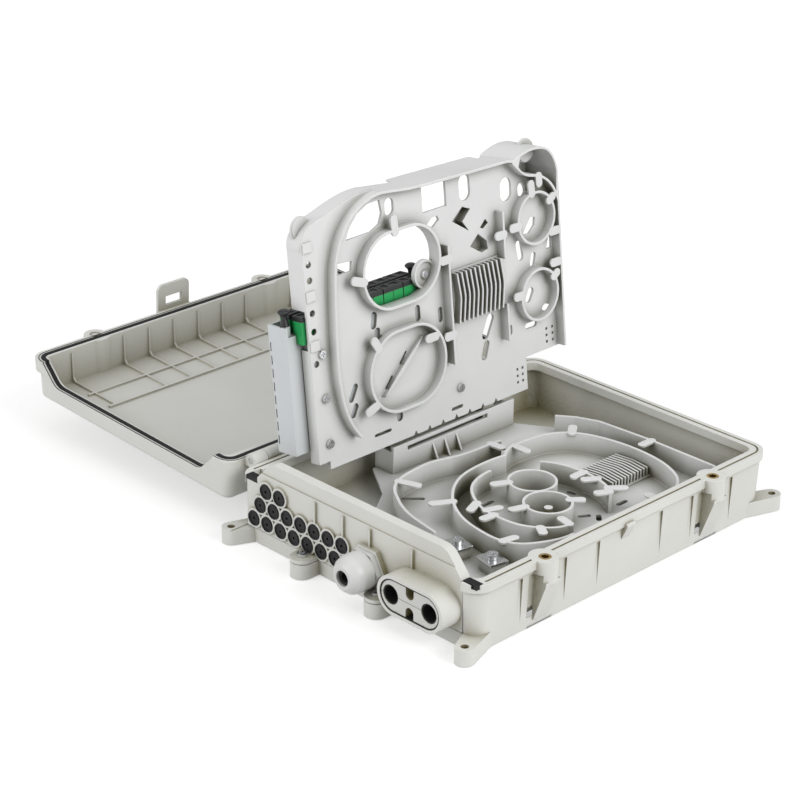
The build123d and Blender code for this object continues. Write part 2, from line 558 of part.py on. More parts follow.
TRAY_SLOTS = (((-45, -58), (-35, -48)), ((1, -32), (1, -16)), ((-34, 36), (-34, 8)), ((-57, -6), (-57, 0)),
              ((28, 34), (32, 35)), ((46, 46), (52, 45)), ((58, 12), (61, 17)), ((66, 22), (70, 18)),
              ((64, 45), (64, 52)), ((77, 50), (77, 58)), ((58, -64), (64, -63)), ((88, 6), (88, 20)))
for (root, tip) in TRAY_SLOTS:
    tray -= tongue_between(root, tip, 4.0, TRAY_Z - TRAY_T - 1, TRAY_Z + 0.05)
put("storage_tray", tray)

# splice comb of the tray, ridges along X
comb_y0 = 56.0
ridges = box(19, 51, comb_y0 - 2, comb_y0 + (COMB_RIDGES - 1) * TRAY_RIDGE_PITCH + 2, TRAY_Z + 0.1, TRAY_Z + 1.4)
for i in range(COMB_RIDGES):
    y = comb_y0 + i * TRAY_RIDGE_PITCH
    ridge = FilletPolyline((20, y - 1.0), (35, y + 1.2), (50, y - 1.0), radius=20)
    ridges += Pos(0, 0, TRAY_Z + 1.0) * extrude(trace(ridge, RIDGE_T), COMB_H)
put("tray_splice_comb", ridges)

# carrier that holds the panel hinge: a trough with two arms behind the panel
lean = math.radians(PANEL_LEAN)
axis_x = PANEL_X + PANEL_AXIS_W * math.cos(lean) - PANEL_AXIS_V * math.sin(lean)
axis_z = PANEL_Z + PANEL_AXIS_W * math.sin(lean) + PANEL_AXIS_V * math.cos(lean)
print("panel hinge axis", round(axis_x, 3), round(axis_z, 3))
swing_r = math.hypot(PANEL_AXIS_V, PANEL_AXIS_W)
post_x = axis_x - swing_r - 1.4
cz0, cz1 = TRAY_Z + 0.1, axis_z - swing_r - 0.8
carrier = box(PANEL_X - CARRIER_T, PANEL_X, -36, 88, cz0, cz1)
carrier += box(post_x - 2.4, PANEL_X, -36, 88, cz0, cz0 + 2.4)
carrier -= box(PANEL_X - 10, PANEL_X + 10, -22, 60, cz1 - 6.4, cz1 - 2.9)
for y in (3.5, 15.5, 27.5):
    fin = [(PANEL_X - 0.2, cz0), (PANEL_X + 6, cz0), (PANEL_X - 0.2, cz1 - 8)]
    carrier += profile_xz(fin, y - 0.8, y + 0.8)
for y in (-36, 86):
    carrier += box(post_x - 2.4, PANEL_X - 1, y, y + 2, cz0, cz1 - 4)
HINGE_SPOTS = (-28.0, 68.0)
for y in HINGE_SPOTS:
    carrier += box(post_x - 2.4, post_x, y - 4, y + 4, cz0, axis_z + PANEL_EYE_R)
    carrier += box(post_x - 1, axis_x, y - 4, y + 4, axis_z - PANEL_EYE_R + 0.4, axis_z + PANEL_EYE_R)
    carrier += cyl_y(axis_x, axis_z, y - 4, y + 4, PANEL_EYE_R)
for y in HINGE_SPOTS:
    carrier -= cyl_y(axis_x, axis_z, y - 6, y + 6, PANEL_PIN_R + 0.02)
put("panel_carrier", carrier)
panel_pins = [cyl_y(axis_x, axis_z, y - 12, y + 12, PANEL_PIN_R) for y in HINGE_SPOTS]
put("panel_hinge_pins", *panel_pins)

# cable clamps
blocks, plates, clamp_screws = [], [], []
for (x, y, a) in ((40.0, -90.0, -12.0), (70.0, -88.0, -12.0)):
    place = Pos(x, y, 0) * Rot(0, 0, a)
    blocks.append(place * box(-7, 7, -6, 6, TRAY_Z + 0.1, TRAY_Z + 7.5) - place * cyl(0, 0, TRAY_Z + 2, TRAY_Z + 20, 2.05))
    plates.append(place * (box(-8.5, 8.5, -7, 7, TRAY_Z + 7.7, TRAY_Z + 9.2) - cyl(0, 0, 0, 60, 2.3)))
    head = cyl(0, 0, TRAY_Z + 9.3, TRAY_Z + 12.6, 4.0) + cyl(0, 0, TRAY_Z + 3, TRAY_Z + 10, 2.0)
    head -= Pos(0, 0, TRAY_Z + 12.6) * (Box(5, 1, 2.4) + Box(1, 5, 2.4))
    clamp_screws.append(place * head)
put("clamp_blocks", *blocks)
put("clamp_plates", *plates)
put("clamp_screws", *clamp_screws)

# lid (built closed, then opened)
def open_lid(shape):
    return Pos(HINGE_X, 0, HINGE_Z) * Rot(0, -LID_OPEN, 0) * Pos(-HINGE_X, 0, -HINGE_Z) * shape


lid_w = RIM_X - 8 - LID_OUT_X0
lid_cx = (RIM_X - 8 + LID_OUT_X0) / 2
lid_top = LID_Z0 + LID_H
lid_body = Pos(lid_cx, 0, LID_Z0) * extrude(RectangleRounded(lid_w, 2 * LID_Y, BASE_R), LID_H, taper=LID_DRAFT)
lid_body = fillet(lid_body.faces().sort_by(Axis.Z)[-1].edges(), 4.0)
fl_w = RIM_X - LID_OUT_X0
lid_body += Pos((RIM_X + LID_OUT_X0) / 2, 0, LID_Z0) * extrude(RectangleRounded(fl_w, 2 * LID_Y, BASE_R + 3), LID_FLANGE_H, taper=2)
for sy in (-1, 1):
    lid_body += cyl(BOSS_X, sy * BOSS_Y, LID_Z0, LID_Z0 + LID_FLANGE_H + 3, BOSS_R)
in_w = LID_IN_X1 - LID_IN_X0
in_cx = (LID_IN_X1 + LID_IN_X0) / 2
in_y = LID_Y - 8.0
inside = Pos(in_cx, 0, LID_Z0 - 1) * extrude(RectangleRounded(in_w, 2 * in_y, BASE_R - 4), LID_H - LID_WALL + 1, taper=1.0)
for sy in (-1, 1):
    inside -= cyl(BOSS_X, sy * BOSS_Y, LID_Z0 - 2, lid_top, 12.0)
lid = lid_body - inside
# near end follows the top of the port plate
clear = SEAT + 0.3
over_top = (SHOULDER_TOP_X, PLATE_TOP_Z + clear)


def over_plate(lift):
    """Profile of the port plate's raised middle with its clearance, lifted."""
    foot_x = SHOULDER_FOOT_X + 3 * clear
    step_z = BASE_H + 1.5 + clear + lift
    top_z = over_top[1] + lift
    pts = [(-foot_x, LID_Z0 - 5), (-foot_x, step_z), (-over_top[0], top_z), (over_top[0], top_z),
           (foot_x, step_z), (foot_x, LID_Z0 - 5)]
    corners = [((-over_top[0], top_z), SHOULDER_R), ((over_top[0], top_z), SHOULDER_R)]
    return profile_face(pts, corners)


lid -= run_y(over_plate(0), -LID_Y - 5, -LID_Y + 10.5)
rib_top = lid_top - LID_WALL + 0.4
for y in LID_RIB_Y:
    rib = [(LID_IN_X1 + 1, LID_Z0 + 3), (LID_IN_X1 - 1.0, LID_Z0 + 3), (LID_IN_X1 - 2.2, lid_top - 7),
           (LID_IN_X1 - 5, rib_top - 2.0), (LID_IN_X1 - 53, rib_top - 2.0), (LID_IN_X1 - 53, rib_top),
           (LID_IN_X1 + 1, rib_top)]
    if abs(abs(y) - BOSS_Y) > 6:
        lid += profile_xz(rib, y - LID_RIB_T / 2, y + LID_RIB_T / 2)
for x in LID_LONG_RIB_X:
    lid += box(x - 1.0, x + 1.0, -121, 121, rib_top - 2.0, rib_top)
# latch tab with its window
tx = RIM_X + TAB_GAP
tab = box(tx, tx + TAB_T, TAB_Y - TAB_W / 2, TAB_Y + TAB_W / 2, TAB_Z0, LID_Z0 + 5)
tab = fillet(tab.edges().filter_by(Axis.X).sort_by(Axis.Z)[:2], 5.0)
tab += box(RIM_X - 2, tx + TAB_T, TAB_Y - TAB_W / 2, TAB_Y + TAB_W / 2, LID_Z0 + 1.5, LID_Z0 + 5)
tab -= box(tx - 1, tx + 5, TAB_Y - TAB_WINDOW[0] / 2, TAB_Y + TAB_WINDOW[0] / 2, 40.8, 40.8 + TAB_WINDOW[1])
lid += tab
# hinge knuckles
for sy in (-1, 1):
    for (y0, y1, side) in KNUCKLES:
        if side == "lid":
            a, b = sorted((sy * y0, sy * y1))
            lid += cyl_y(HINGE_X, HINGE_Z, a, b, KNUCKLE_R)
            lid += box(HINGE_X, LID_OUT_X0 + 2, a, b, LID_Z0, HINGE_Z + KNUCKLE_R)
            lid -= cyl_y(HINGE_X, HINGE_Z, a - 1, b + 1, HINGE_PIN_R + KNUCKLE_FIT)
# gasket groove
gx0, gx1, gy = LID_OUT_X0 + 4.4, LID_IN_X1 + 4.2, LID_Y - 5.0


def loop(grow, z0, z1):
    w, l = gx1 - gx0 + 2 * grow, 2 * gy + 2 * grow
    return Pos((gx0 + gx1) / 2, 0, z0) * extrude(RectangleRounded(w, l, 8 + grow), z1 - z0)


groove = loop(GASKET_W / 2, LID_Z0 - 1, LID_Z0 + GASKET_D) - loop(-GASKET_W / 2, LID_Z0 - 2, LID_Z0 + GASKET_D + 1)
near_cut = run_y(over_plate(0), -LID_Y - 5, -LID_Y + 13)
lid -= groove
# groove over the raised near edge
near_y0, near_y1 = -gy - GASKET_W / 2, -gy + GASKET_W / 2
lid -= run_y(over_plate(GASKET_D), near_y0, near_y1)
for sy in (-1, 1):
    lid -= cyl(BOSS_X, sy * BOSS_Y, LID_Z0 - 1, LID_Z0 + 20, LID_SCREW_R + 0.3)
    lid -= cyl(BOSS_X, sy * BOSS_Y, LID_Z0 - 1, LID_Z0 + 1.2, LID_SCREW_R + 2.2)
put("lid_shell", open_lid(lid))

# gasket of the lid, with the length over the port plate
gm = 0.12
gasket = loop(GASKET_W / 2 - gm, LID_Z0 - 0.4, LID_Z0 + GASKET_D - 0.05) - loop(-GASKET_W / 2 + gm, LID_Z0 - 2, LID_Z0 + 10)
gasket -= near_cut
near_strip = run_y(over_plate(GASKET_D - 0.05), near_y0 + gm, near_y1 - gm)
near_strip -= run_y(over_plate(-0.3), near_y0 - 1, near_y1 + 1)
near_strip -= box(-150, 150, -160, -120, 0, LID_Z0 + 2.5)
put("lid_gasket", open_lid(gasket), open_lid(near_strip))

lid_screws = []
for sy in (-1, 1):
    top = LID_Z0 + LID_FLANGE_H + 3
    screw = cyl(BOSS_X, sy * BOSS_Y, top + 0.1, top + 5, 5.0) + cyl(BOSS_X, sy * BOSS_Y, LID_Z0 + 0.3, top + 1, LID_SCREW_R)
    screw -= Pos(BOSS_X, sy * BOSS_Y, top + 5) * extrude(RegularPolygon(2.4, 6), 2.6, both=True)
    lid_screws.append(open_lid(screw))
put("lid_screws", *lid_screws)

hinge_pins = []
for sy in (-1, 1):
    a, b = sorted((sy * 131.4, sy * 90.0))
    hinge_pins.append(cyl_y(HINGE_X, HINGE_Z, a, b, HINGE_PIN_R))
put("lid_hinge_pins", *hinge_pins)

# swing panel
def on_panel(shape):
    """Panel sketches use X for u, Y for v and Z for w; stand them up and lean them back."""
    up = Rot(0, 0, 90) * Rot(90, 0, 0) * shape
    return Pos(PANEL_X, 0, PANEL_Z) * Rot(0, -PANEL_LEAN, 0) * up


def slab(points, w0, w1):
    return Pos(0, 0, w0) * extrude(make_face(Polyline(*points, close=True)), w1 - w0)


u0, u1, v1 = PANEL_U0, PANEL_U1, PANEL_V1
g = PANEL_GUIDE_H
pin_d = PANEL_AXIS_W
cu0, cu1 = CASSETTE_U
cv0, cv1 = CASSETTE_V
# outline: a wavy left shoulder, a nearly level top and the rounded pocket corner
LEFT_TOP = [(u0, 158), (-104, 167), (-97, 173.5), (-86, 177), (-72, 181), (-56, 184.5), (-38, 185)]
TOP = [(-38, 185), (-25, 183.5), (-12, 181.8), (4, v1), (86, v1 - 2), (92, 177.5)]
CORNER = [(92, 177.5), (99, 180), (108, 182), (118, 182), (128, 179), (135, 171), (u1 - 0.5, 160)]
BOTTOM = [(u1 - 0.5, 160), (u1 - 0.5, 25), (103, 25), (103, 0), (-96, 0), (-96, 6), (u0, 6), (u0, 158)]
outline = Spline(*LEFT_TOP) + Polyline(*TOP) + Spline(*CORNER) + Polyline(*BOTTOM)
panel = Pos(0, 0, -PANEL_T) * extrude(make_face(outline), PANEL_T)
for i in range(7):
    u = -13.5 + i * 13.7
    panel -= slab([(u - 2.4, -1), (u, 3.2), (u + 2.4, -1)], -5, 2)
# flange backwards round the left and the top, guide wall forwards along the top and the right
inset = 0.9
left_top_in = [(x + inset * 0.6, y - inset * 0.8) for (x, y) in LEFT_TOP[1:]]
panel += wall([(u0 + inset, 6), (u0 + inset, 158)], 1.8, -PANEL_FLANGE_D, -PANEL_T + 0.5)
panel += curve_wall([(u0 + inset, 157)] + left_top_in, 1.8, -PANEL_FLANGE_D, -PANEL_T + 0.5)
# the flange is cut back where the cassette and its adapters pass behind the left edge
panel -= box(u0 - 1, u0 + 3, 0, cv0 + 74, -PANEL_FLANGE_D - 1, -CASSETTE_SET + 0.9)
panel -= box(u0 - 1, u0 + 3, cv0 + 74, cv1 + 10, -PANEL_FLANGE_D - 1, -PANEL_T)
top_in = [(x, y - inset) for (x, y) in TOP]
panel += wall(top_in, 1.8, -PANEL_FLANGE_D, g)
panel += slab([(-2, v1 - 1.9), (80, v1 - 3.7), (80, v1 - 2.1), (-2, v1 - 0.2)], -POCKET_D, g)
panel += wall([(u1 - 0.5 - inset, 160), (u1 - 0.5 - inset, 26)], 1.8, -0.5, g)
# pocket: a deep crescent in the upper right corner
POCKET_ARC = [(91, 175), (96, 170), (104, 163.5), (118, 159.5), (128, 153), (134, 144), (u1 - 0.5, 130)]
crescent = make_face(Spline(*CORNER) + Polyline(CORNER[-1], POCKET_ARC[-1])
                     + Spline(*reversed(POCKET_ARC)) + Polyline(POCKET_ARC[0], CORNER[0]))
rim_in = shifted(CORNER, -POCKET_WALL)[1:]
arc_in = shifted(POCKET_ARC, POCKET_WALL)[1:-1]
inner = make_face(Spline(*rim_in) + Polyline(rim_in[-1], arc_in[-1])
                  + Spline(*reversed(arc_in)) + Polyline(arc_in[0], rim_in[0]))
keep_in = box(60, u1 - 0.5, 100, 200, -POCKET_D, g)
panel += (Pos(0, 0, -POCKET_D) * extrude(crescent, POCKET_D + g)) & keep_in
panel -= Pos(0, 0, -POCKET_D + POCKET_WALL) * extrude(inner, POCKET_D + g)
# guide walls on the front
U_WALL = [(-37, 184), (-53, 181), (-68, 172), (-77, 161), (-83, 146), (-86, 122), (-88, 66), (-84, 40), (-72, 18)]
panel += curve_wall(U_WALL, PANEL_GUIDE_T, -0.5, g)


def oval(cx, cy, w, h, z0, z1):
    return Pos(cx, cy, z0) * extrude(RectangleRounded(w, h, h / 2 - 0.5), z1 - z0)


R1, R2 = (-22.5, 128.0), (-23.0, 54.5)
FLAP = (4.8, 114.5)
OW, OH, OH1 = 75.0, 60.0, 56.0
panel += oval(*R1, OW, OH1, -PANEL_T, g)
panel -= oval(*R1, OW - 4, OH1 - 4, -10, g + 1)
flap = cyl(*FLAP, -PANEL_T, -0.4, 10.5) + ring(*FLAP, 10.5, 1.6, -PANEL_T, 1.2)
panel += flap & oval(*R1, OW - 3, OH1 - 3, -10, 10)
panel += oval(*R2, OW, OH, -0.5, g) - oval(*R2, OW - 4, OH - 4, 0, g + 1)
R3, R4 = (113.5, 130.0), (113.5, 72.0)
for (cx, cy) in (R3, R4):
    panel += ring(cx, cy, 20.0, 1.9, -0.5, g)
panel += wall([(22.5, 44), (22.5, 132)], 1.8, -0.5, g)
panel += wall([(79, 108), (79, 143)], 1.8, -0.5, g)
panel += wall([(79, 46), (79, 74)], 1.8, -0.5, g)
# lens-shaped bar in the lower oval
lens = make_face(Spline((-44, 38), (-24, 52), (-4, 72)) + Spline((-4, 72), (-22, 58), (-44, 38)))
panel += Pos(0, 0, -0.2) * extrude(lens, 4.2)
# retaining tongues
p0, p1 = g - 1.5, g
PANEL_TONGUES = ((-27, 154, 95, 9), (-59, 126, 160, 9), (-50, 76, 120, 7), (-56, 36, 200, 8), (5, 70, 180, 7),
                 (22.5, 122, 180, 6), (22.5, 66, 180, 6), (79, 126, 180, 6), (94, 128, 180, 6),
                 (110, 149, 95, 7), (128, 140, 30, 4), (94, 76, 180, 5), (129, 82, 30, 4),
                 (135, 116, 180, 6), (135, 92, 180, 6), (118, 160, 270, 5))
for (x, y, a, length) in PANEL_TONGUES:
    panel += tongue(x, y, a, length, 6.4, p0, p1)
# recesses behind small shapes in the plate
HOUSE = [(51.6, 122.6), (60.4, 130), (69, 122.7), (69.7, 116.6), (63.3, 115.2)]
ARROW = [(35.3, 145), (46.1, 153.3), (53.9, 150), (45.5, 142.5), (51.6, 134.4)]
DIAMOND = [(62.8, 133.9), (68.4, 139.2), (71.2, 135.5), (65.8, 132.4)]
for shape in (HOUSE, ARROW, DIAMOND):
    us = [p[0] for p in shape]
    vs = [p[1] for p in shape]
    panel += box(min(us) - 1.5, max(us) + 1.5, min(vs) - 1.5, max(vs) + 1.5, -9.0, -0.4)
for shape in (HOUSE, ARROW, DIAMOND):
    panel -= slab(shape, -7.8, 2)
# windows and slots
panel -= box(7.5, 31, 157.8, 176.5, -12, 6)
WINDOWS = ([(-66, 156), (-62, 164), (-54, 172), (-44, 176.5), (-32.5, 177), (-31, 167), (-34, 160), (-42, 156.5)],
           [(-76, 134), (-63, 134), (-62, 141), (-75, 142)],
           [(10.8, 148.8), (16, 152.6), (21, 152.8), (22.7, 149.5), (16.4, 145.2)],
           [(130, 101), (136, 101), (136, 110), (133, 110)],
           [(106, 118), (113, 117), (119, 122), (120, 128), (115, 129)])
for shape in WINDOWS:
    panel -= slab(shape, -12, 3)
PANEL_SLOTS = ((49.5, 166.5, 90, 8, 11), (-24, 170, 90, 4, 8.4), (91, 155.5, 90, 6, 11.5), (107, 151.5, 90, 3, 7.5),
               (-46, 94, 80, 7, 5.6), (-44, 82, 80, 7, 5.6), (-4, 88, 90, 7, 5.2), (-70, 48, 60, 9, 5),
               (-70, 35, 60, 6, 5), (-45, 11, 0, 14, 2.4), (-28, 20, 90, 5, 6), (29, 7.5, 0, 9, 2.6),
               (61, 42, 70, 9, 6), (65, 59, 62, 13, 7), (88, 50, 90, 4, 4), (110, 71, 60, 6, 6), (129, 56, 0, 5, 8),
               (102, 107, 100, 10, 6), (115.5, 97, 75, 6, 5), (110, 48, 0, 8, 4.5), (18, 81, 90, 7, 4.5),
               (-36, 46, 48, 9, 1.8), (-21, 60, 48, 9, 1.8))
for (x, y, a, length, width) in PANEL_SLOTS:
    panel -= Pos(x, y, -12) * Rot(0, 0, a) * extrude(SlotOverall(length + width, width), 15)
for i in range(2):
    for j in range(3):
        panel -= box(125 + i * 6.5, 127.2 + i * 6.5, 29.5 + j * 5, 31.7 + j * 5, -5, 2)
        panel -= box(92 + i * 5.5, 94 + i * 5.5, 7 + j * 5, 9 + j * 5, -5, 2)
for v in (148, 137, 114, 101, 78):
    panel -= cyl(-101, v, -5, 2, 2.4)
for v in (160, 126, 91):
    panel += box(-105.5, -97.5, v - 3.6, v + 3.6, -0.5, 0.9)
# hinge barrels behind the lower edge
for y in HINGE_SPOTS:
    for (a, b) in ((y - 12, y - 4.4), (y + 4.4, y + 12)):
        panel += Pos((a + b) / 2, PANEL_AXIS_V, pin_d) * Rot(0, 90, 0) * Cylinder(PANEL_EYE_R, b - a)
        panel += box(a, b, PANEL_AXIS_V - PANEL_EYE_R, PANEL_AXIS_V + PANEL_EYE_R, pin_d, -PANEL_T + 0.5)
for y in HINGE_SPOTS:
    panel -= Pos(y, PANEL_AXIS_V, pin_d) * Rot(0, 90, 0) * Cylinder(PANEL_PIN_R + KNUCKLE_FIT, 30)
put("splice_panel", on_panel(panel))

# splice comb of the panel, curved ridges up the panel
comb = box(30.5, 84, 71, 110, 0.1, 1.3)
for i in range(COMB_RIDGES):
    u = 32 + i * COMB_PITCH
    path = FilletPolyline((u - 1.5, 72), (u + 1.2, 91), (u - 1.5, 109), radius=24)
    comb += Pos(0, 0, 1.0) * extrude(trace(path, RIDGE_T), COMB_H - 1)
put("panel_splice_comb", on_panel(comb & box(28, 77.8, 60, 120, -1, 20)))

# adapter cassette behind the panel, adapters, caps, screws, plungers
c0, c1 = -PANEL_T - 0.15, -PANEL_T - CASSETTE_D
case = box(cu0, cu1, cv0, cv1, c1, -CASSETTE_SET)
case += box(cu0 + 15, cu1, cv0, cv1 - 8, -CASSETTE_SET - 0.2, c0)
case -= box(cu0 + 17, cu1 - 2, cv0 + 2, CASSETTE_DECK - 2, c1 + 1.8, c0 - 1.8)
case -= box(cu0 + 2, cu1 - 2, CASSETTE_DECK, cv1 + 1, c1 + 1.8, c0 + 1)
case -= box(cu0 + 2, cu0 + 16, cv0 + 2, CASSETTE_DECK - 2, c1 + 1.8, c0 - 9)
for i in range(8):
    v = cv0 + 6 + i * 9.6
    case -= box(cu0 - 1, cu0 + 0.9, v, v + 6.4, c1 + 1.0, c1 + 2.0)
ad_u0 = cu0 + 9.0
for w in ADAPTER_ROWS:
    for i in range(ADAPTER_COUNT):
        u = ad_u0 + i * ADAPTER_PITCH
        wc = c0 + w + 2.3
        case -= box(u - 0.1, u + ADAPTER_W + 0.1, CASSETTE_DECK - 6.2, CASSETTE_DECK + 1,
                    wc - ADAPTER_D / 2 - 0.1, wc + ADAPTER_D / 2 + 0.1)
plunger_spots = ((cu0 + 4.3, c0 - 12.5), (ad_u0 + ADAPTER_COUNT * ADAPTER_PITCH + 4.4, c0 - 17.0))
for (u, w) in plunger_spots:
    guide = Pos(u, CASSETTE_DECK, w) * Rot(90, 0, 0)
    case += guide * Cylinder(3.6, 14)
    case -= guide * Cylinder(PLUNGER_R + 0.06, 40)
put("adapter_cassette", on_panel(case))

plunger_names = ("latch_plunger_near", "latch_plunger_far")
for name, (u, w) in zip(plunger_names, plunger_spots):
    stem = [(0, -9), (PLUNGER_R, -9), (PLUNGER_R, 0.4), (3.5, 0.4), (3.0, 2.2), (2.1, 5.2), (2.3, 7.4),
            (PLUNGER_HEAD_R, 9.6), (PLUNGER_HEAD_R, 10.6), (PLUNGER_HEAD_R - 1.4, 11.6), (0, 11.8)]
    side = make_face(Polyline(*stem, close=True))
    knob = revolve(Plane.XZ * side, Axis.Z)
    put(name, on_panel(Pos(u, cv1, w) * Rot(-90, 0, 0) * knob))

adapters, caps = [], []
for w in ADAPTER_ROWS:
    for i in range(ADAPTER_COUNT):
        u = ad_u0 + i * ADAPTER_PITCH
        wc = c0 + w + 2.3
        v0 = CASSETTE_DECK - 6
        top = CASSETTE_DECK + ADAPTER_H
        body = box(u, u + ADAPTER_W, v0, top, wc - ADAPTER_D / 2, wc + ADAPTER_D / 2)
        body -= box(u + ADAPTER_W / 2 - 0.25, u + ADAPTER_W / 2 + 0.25, CASSETTE_DECK + 1, 200,
                    wc + ADAPTER_D / 2 - 0.5, wc + 10)
        adapters.append(on_panel(body))
        for k in (0, 1):
            a = u + k * ADAPTER_W / 2 + 0.15
            b = a + ADAPTER_W / 2 - 0.3
            cap = box(a, b, top + 0.1, top + CAP_H, wc - ADAPTER_D / 2, wc + ADAPTER_D / 2)
            cap -= box(a + 1.6, b - 1.6, top + CAP_H - 0.7, top + 6, wc - ADAPTER_D / 2 + 1.6, wc + ADAPTER_D / 2 - 1.6)
            caps.append(on_panel(cap))
put("fibre_adapters", *adapters)
put("adapter_caps", *caps)

panel_screws = []
for (u, v) in ((-96, 84), (-96, 52), (-95.5, 19), (26.8, 84), (33, 22), FLAP):
    w = -0.3 if (u, v) == FLAP else 0.1
    s = cyl(u, v, w, w + 2.0, 3.0)
    s -= Pos(u, v, w + 2.0) * (Box(3.8, 0.9, 1.6) + Box(0.9, 3.8, 1.6))
    panel_screws.append(on_panel(s))
put("panel_screws", *panel_screws)
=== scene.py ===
import math

import bmesh
import bpy
from bpy.props import FloatProperty, FloatVectorProperty, PointerProperty
from mathutils import Matrix, Vector


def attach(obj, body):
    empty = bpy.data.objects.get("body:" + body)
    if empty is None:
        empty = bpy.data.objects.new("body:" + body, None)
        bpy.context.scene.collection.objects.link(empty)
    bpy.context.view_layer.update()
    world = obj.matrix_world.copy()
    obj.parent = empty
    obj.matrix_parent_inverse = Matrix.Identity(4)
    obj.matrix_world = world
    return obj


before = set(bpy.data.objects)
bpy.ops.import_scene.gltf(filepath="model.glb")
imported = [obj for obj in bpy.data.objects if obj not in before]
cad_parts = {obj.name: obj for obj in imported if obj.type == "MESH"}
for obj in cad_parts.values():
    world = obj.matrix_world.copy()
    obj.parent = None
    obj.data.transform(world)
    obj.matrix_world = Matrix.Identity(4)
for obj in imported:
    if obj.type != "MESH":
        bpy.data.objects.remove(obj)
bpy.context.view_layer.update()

bl_info = {
    "name": "Fibre distribution box",
    "version": (1, 0, 0),
    "blender": (4, 5, 0),
    "location": "View3D > Sidebar > Fibre Box",
    "description": "Finishes and small moulded details of an opened fibre distribution box",
    "category": "Object",
}

# sockets of the colour mix node
MIX_FACTOR, MIX_A, MIX_B, MIX_COLOUR = 0, 6, 7, 2

# mouldings: scales of their noises, and the colour of the painted highlight on edges
CLOUD_SCALE = 18.0
GRAIN_SCALE = 1400.0
LEATHER_SCALE = 420.0
EDGE_HIGHLIGHT = (0.97, 0.97, 0.96, 1)

# lid, in metres
LID_HINGE = Vector((-0.12, 0, 0.05))
LID_OPEN = math.radians(177.5)
RIM_Z = 0.0501                     # sealing face of the closed lid
GROOVE_SHADE_MIDDLE_X = -0.0009
GROOVE_SHADE_HALF = (0.1120, 0.1455)  # half width and half length of the dark strip, painted shade of the groove outside the gasket
GROOVE_SHADE_BEND = 0.0115
GROOVE_SHADE_SECTION = (0.0006, 0.0005)
SHOULDER_FOOT = (0.0975, 0.0515)   # the lid's edge rises here to clear the port plate
SHOULDER_TOP = (0.083, 0.0660)
SHOULDER_BEND = 0.012
LINE_GAP = 0.0005                  # between the raised length and the rest of the line

# swing panel at rest, in metres
PANEL_FOOT = Vector((-0.076, 0, 0.0465))
PANEL_LEAN = math.radians(6.5)
EARS = ((-0.0985, 0.1725, 0.0085), (0.1215, 0.1775, 0.009))  # along the panel, up it, radius
EAR_SET_BACK = 0.0085
EAR_T = 0.003
EAR_EDGE = 0.0007                                             # step along its rims
EAR_SIDES = 40
EAR_RIM_ANGLE = 1.0                                           # radians; edges that turn more are rims

# camera, from the photograph
PICTURE_PX = 800.0
FOCAL_PX = 2371.7
SENSOR_MM = 36.0
CAMERA_TURN = math.radians(45.34)
CAMERA_RISE = math.radians(24.41)
CAMERA_TILT = math.radians(-0.67)
CAMERA_PLACE = (0.999848, -1.093414, 0.766070)
CLIP_NEAR, CLIP_FAR = 0.1, 30

# studio, in metres
FLOOR_HALF = 6.0
FLOOR_Z = -0.0004
PAPER_GREY = (0.62, 0.62, 0.62, 1)
GLOW_REACH = (0.35, 0.95)                             # the paper's glow grows between these distances
GLOW_LEVELS = (0.5, 0.8)
KEY_LAMP = ((1.9, 0.2, 1.3), (0, 0, 0.05), 1.4)       # place, target, width
TOP_LAMP = ((-0.3, -0.5, 2.2), (-0.1, 0, 0), 1.6)
PORT_LAMP = ((-0.7, -2.0, 1.0), (0, -0.1, 0.03), 1.2)


def shade(red, green, blue):
    """Scene colour for a colour named as it looks on screen, 0 to 255."""
    parts = []
    for value in (red, green, blue):
        c = value / 255.0
        parts.append(c / 12.92 if c <= 0.04045 else ((c + 0.055) / 1.055) ** 2.4)
    return tuple(parts)


class FinishSettings(bpy.types.PropertyGroup):
    """Colours and surface values of the mouldings."""
    housing: FloatVectorProperty(name="Housing", description="Colour of the base, lid and port plate",
                                 subtype="COLOR", size=3, min=0, max=1, default=shade(224, 224, 219))
    shadow: FloatVectorProperty(name="Deep corners", description="Warm tint in deep corners of the housing",
                                subtype="COLOR", size=3, min=0, max=1, default=shade(128, 121, 82))
    tray: FloatVectorProperty(name="Tray", description="Colour of the tray and the swing panel",
                              subtype="COLOR", size=3, min=0, max=1, default=shade(229, 230, 229))
    cassette: FloatVectorProperty(name="Cassette", description="Colour of the adapter cassette",
                                  subtype="COLOR", size=3, min=0, max=1, default=shade(214, 218, 220))
    rubber: FloatVectorProperty(name="Rubber", description="Colour of seals and grommets",
                                subtype="COLOR", size=3, min=0, max=1, default=shade(24, 24, 25))
    adapter: FloatVectorProperty(name="Adapters", description="Colour of the fibre adapters",
                                 subtype="COLOR", size=3, min=0, max=1, default=shade(28, 160, 84))
    grain: FloatProperty(name="Mould grain", description="Depth of the moulded surface grain",
                         subtype="DISTANCE", unit="LENGTH", default=0.00006, min=0, max=0.001)


class StageSettings(bpy.types.PropertyGroup):
    """Light levels of the studio."""
    key: FloatProperty(name="Key lamp", description="Power of the soft box on the latch side",
                       unit="POWER", default=27.0, min=0)
    top: FloatProperty(name="Top lamp", description="Power of the overhead soft box",
                       unit="POWER", default=5.0, min=0)
    port: FloatProperty(name="Port lamp", description="Power of the soft box on the side of the cable ports",
                        unit="POWER", default=15.5, min=0)
    room: FloatProperty(name="Room", description="Brightness of the white studio around the box",
                        default=0.5, min=0)


def node_of(tree, kind, spot, **values):
    """Adds a shader node and sets its fields and sockets."""
    made = tree.nodes.new(kind)
    made.location = spot
    for key, value in values.items():
        if key in made.inputs:
            made.inputs[key].default_value = value
        else:
            setattr(made, key, value)
    return made


